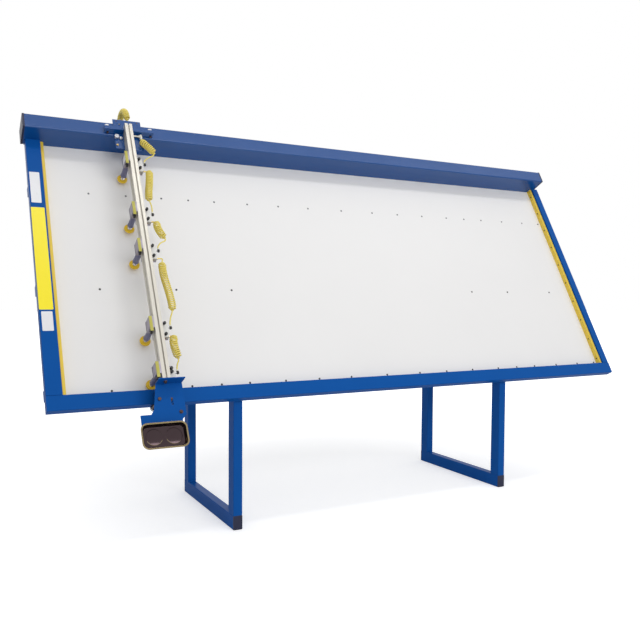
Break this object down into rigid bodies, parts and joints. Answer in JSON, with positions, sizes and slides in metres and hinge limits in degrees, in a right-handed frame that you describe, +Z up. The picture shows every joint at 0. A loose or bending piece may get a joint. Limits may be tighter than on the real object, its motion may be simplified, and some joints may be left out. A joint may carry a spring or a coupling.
{
  "type": "tilted clamping table for cabinet face frames",
  "caption": "Tilted steel-framed assembly table for cabinet face frames, with a sliding clamp beam that carries air hold-downs on coiled hoses.",
  "frame": {"origin": "middle of the floor under the table's bounding box, measured without the hoses and the plug", "axes": "+X along the table to the right as the worker faces it, +Y away from the worker, +Z up"},
  "size_m": [3.78, 1.2375, 2.3334],
  "materials": {
    "blue_paint": "satin powder coat, mid blue",
    "white_board": "white laminate on board",
    "yellow_plastic": "smooth yellow polyethylene",
    "black_plastic": "fine-grained black plastic",
    "anodised": "clear anodised extrusion",
    "head_metal": "machined aluminium with steel-grey valve",
    "steel": "bright zinc-plated steel",
    "roller_steel": "turned steel",
    "yellow_pad": "yellow urethane",
    "hose": "pale yellow polyurethane tube",
    "brass": "nickelled brass fittings",
    "tray": "polished stainless steel",
    "gauge": "dark gauge case"
  },
  "bodies": {
    "frame": {"front_leg_left": "blue_paint", "front_leg_right": "blue_paint", "rear_leg_left": "blue_paint", "rear_leg_right": "blue_paint", "runner_left": "blue_paint", "runner_right": "blue_paint", "runner_caps": "black_plastic", "stringers": "blue_paint", "cross_members": "blue_paint", "rail_bottom": "blue_paint", "rail_left": "blue_paint", "rail_right": "blue_paint", "top_beam": "blue_paint", "beam_caps": "black_plastic", "panel": "white_board", "fence_left": "yellow_plastic", "fence_right": "yellow_plastic"},
    "carriage": {"extrusion": "anodised", "upper_bracket": "blue_paint", "lower_bracket": "blue_paint", "guide_block": "black_plastic", "axles": "steel", "pressure_gauge": "gauge", "air_fittings": "brass", "parts_tray": "tray", "head_hoses": "hose", "supply_hose": "hose", "supply_plug": "brass"},
    "roller_upper_left": {"roller_upper_left": "roller_steel"},
    "roller_upper_right": {"roller_upper_right": "roller_steel"},
    "roller_lower_left": {"roller_lower_left": "roller_steel"},
    "roller_lower_right": {"roller_lower_right": "roller_steel"},
    "face_roller_left": {"face_roller_left": "roller_steel"},
    "face_roller_right": {"face_roller_right": "roller_steel"},
    "head_1": {"head_1": "head_metal", "hose_fittings_1": "black_plastic"},
    "pad_1": {"pad_1": "yellow_pad"},
    "knob_upper_1": {"knob_upper_1": "black_plastic"},
    "knob_lower_1": {"knob_lower_1": "black_plastic"},
    "head_2": {"head_2": "head_metal", "hose_fittings_2": "black_plastic"},
    "pad_2": {"pad_2": "yellow_pad"},
    "knob_upper_2": {"knob_upper_2": "black_plastic"},
    "knob_lower_2": {"knob_lower_2": "black_plastic"},
    "head_3": {"head_3": "head_metal", "hose_fittings_3": "black_plastic"},
    "pad_3": {"pad_3": "yellow_pad"},
    "knob_upper_3": {"knob_upper_3": "black_plastic"},
    "knob_lower_3": {"knob_lower_3": "black_plastic"},
    "head_4": {"head_4": "head_metal", "hose_fittings_4": "black_plastic"},
    "pad_4": {"pad_4": "yellow_pad"},
    "knob_upper_4": {"knob_upper_4": "black_plastic"},
    "knob_lower_4": {"knob_lower_4": "black_plastic"},
    "head_5": {"head_5": "head_metal", "hose_fittings_5": "black_plastic"},
    "pad_5": {"pad_5": "yellow_pad"},
    "knob_upper_5": {"knob_upper_5": "black_plastic"},
    "knob_lower_5": {"knob_lower_5": "black_plastic"}
  },
  "joints": [
    {"name": "carriage_slide", "type": "slide", "parent": "frame", "child": "carriage", "axis": [1, 0, 0], "range_m": [-0.37, 3.04]},
    {"name": "roller_upper_left_spin", "type": "hinge", "parent": "carriage", "child": "roller_upper_left", "pos_m": [-1.395, 0.39849, 2.21516], "axis": [0, -0.8763, 0.4818], "continuous": true},
    {"name": "roller_upper_right_spin", "type": "hinge", "parent": "carriage", "child": "roller_upper_right", "pos_m": [-1.279, 0.39849, 2.21516], "axis": [0, -0.8763, 0.4818], "continuous": true},
    {"name": "roller_lower_left_spin", "type": "hinge", "parent": "carriage", "child": "roller_lower_left", "pos_m": [-1.378, -0.32158, 0.69445], "axis": [0, -0.8763, 0.4818], "continuous": true},
    {"name": "roller_lower_right_spin", "type": "hinge", "parent": "carriage", "child": "roller_lower_right", "pos_m": [-1.318, -0.32158, 0.69445], "axis": [0, -0.8763, 0.4818], "continuous": true},
    {"name": "face_roller_left_spin", "type": "hinge", "parent": "carriage", "child": "face_roller_left", "pos_m": [-1.453, 0.34432, 2.17122], "axis": [0, 0.4818, 0.8763], "continuous": true},
    {"name": "face_roller_right_spin", "type": "hinge", "parent": "carriage", "child": "face_roller_right", "pos_m": [-1.213, 0.34432, 2.17122], "axis": [0, 0.4818, 0.8763], "continuous": true},
    {"name": "head_slide_1", "type": "slide", "parent": "carriage", "child": "head_1", "axis": [0, 0.4818, 0.8763], "range_m": [-0.11, 0.06], "deforming": ["head_hoses"]},
    {"name": "hold_down_1", "type": "slide", "parent": "head_1", "child": "pad_1", "axis": [0, -0.8763, 0.4818], "range_m": [-0.0187, 0.018]},
    {"name": "knob_upper_1_turn", "type": "hinge", "parent": "head_1", "child": "knob_upper_1", "pos_m": [-1.311, 0.20894, 1.98827], "axis": [0, -0.8763, 0.4818], "range_deg": [-180, 180]},
    {"name": "knob_lower_1_turn", "type": "hinge", "parent": "head_1", "child": "knob_lower_1", "pos_m": [-1.311, 0.18052, 1.93657], "axis": [0, -0.8763, 0.4818], "range_deg": [-180, 180]},
    {"name": "head_slide_2", "type": "slide", "parent": "carriage", "child": "head_2", "axis": [0, 0.4818, 0.8763], "range_m": [-0.058, 0.11]},
    {"name": "hold_down_2", "type": "slide", "parent": "head_2", "child": "pad_2", "axis": [0, -0.8763, 0.4818], "range_m": [-0.0187, 0.018]},
    {"name": "knob_upper_2_turn", "type": "hinge", "parent": "head_2", "child": "knob_upper_2", "pos_m": [-1.311, 0.04949, 1.69823], "axis": [0, -0.8763, 0.4818], "range_deg": [-180, 180]},
    {"name": "knob_lower_2_turn", "type": "hinge", "parent": "head_2", "child": "knob_lower_2", "pos_m": [-1.311, 0.02106, 1.64653], "axis": [0, -0.8763, 0.4818], "range_deg": [-180, 180]},
    {"name": "head_slide_3", "type": "slide", "parent": "carriage", "child": "head_3", "axis": [0, 0.4818, 0.8763], "range_m": [-0.17, 0.058]},
    {"name": "hold_down_3", "type": "slide", "parent": "head_3", "child": "pad_3", "axis": [0, -0.8763, 0.4818], "range_m": [-0.0187, 0.018]},
    {"name": "knob_upper_3_turn", "type": "hinge", "parent": "head_3", "child": "knob_upper_3", "pos_m": [-1.311, -0.05993, 1.4992], "axis": [0, -0.8763, 0.4818], "range_deg": [-180, 180]},
    {"name": "knob_lower_3_turn", "type": "hinge", "parent": "head_3", "child": "knob_lower_3", "pos_m": [-1.311, -0.08835, 1.4475], "axis": [0, -0.8763, 0.4818], "range_deg": [-180, 180]},
    {"name": "head_slide_4", "type": "slide", "parent": "carriage", "child": "head_4", "axis": [0, 0.4818, 0.8763], "range_m": [-0.065, 0.17]},
    {"name": "hold_down_4", "type": "slide", "parent": "head_4", "child": "pad_4", "axis": [0, -0.8763, 0.4818], "range_m": [-0.0187, 0.018]},
    {"name": "knob_upper_4_turn", "type": "hinge", "parent": "head_4", "child": "knob_upper_4", "pos_m": [-1.311, -0.27672, 1.10486], "axis": [0, -0.8763, 0.4818], "range_deg": [-180, 180]},
    {"name": "knob_lower_4_turn", "type": "hinge", "parent": "head_4", "child": "knob_lower_4", "pos_m": [-1.311, -0.30514, 1.05315], "axis": [0, -0.8763, 0.4818], "range_deg": [-180, 180]},
    {"name": "head_slide_5", "type": "slide", "parent": "carriage", "child": "head_5", "axis": [0, 0.4818, 0.8763], "range_m": [0, 0.065]},
    {"name": "hold_down_5", "type": "slide", "parent": "head_5", "child": "pad_5", "axis": [0, -0.8763, 0.4818], "range_m": [-0.0187, 0.018]},
    {"name": "knob_upper_5_turn", "type": "hinge", "parent": "head_5", "child": "knob_upper_5", "pos_m": [-1.311, -0.39376, 0.89196], "axis": [0, -0.8763, 0.4818], "range_deg": [-180, 180]},
    {"name": "knob_lower_5_turn", "type": "hinge", "parent": "head_5", "child": "knob_lower_5", "pos_m": [-1.311, -0.40244, 0.87618], "axis": [0, -0.8763, 0.4818], "range_deg": [-180, 180]}
  ],
  "couplings": [
    {"joint": "roller_upper_left_spin", "follows": "carriage_slide", "rad_per_m": -83.333},
    {"joint": "roller_upper_right_spin", "follows": "carriage_slide", "rad_per_m": -83.333},
    {"joint": "roller_lower_left_spin", "follows": "carriage_slide", "rad_per_m": 62.5},
    {"joint": "roller_lower_right_spin", "follows": "carriage_slide", "rad_per_m": 62.5},
    {"joint": "face_roller_left_spin", "follows": "carriage_slide", "rad_per_m": 76.923},
    {"joint": "face_roller_right_spin", "follows": "carriage_slide", "rad_per_m": 76.923}
  ]
}
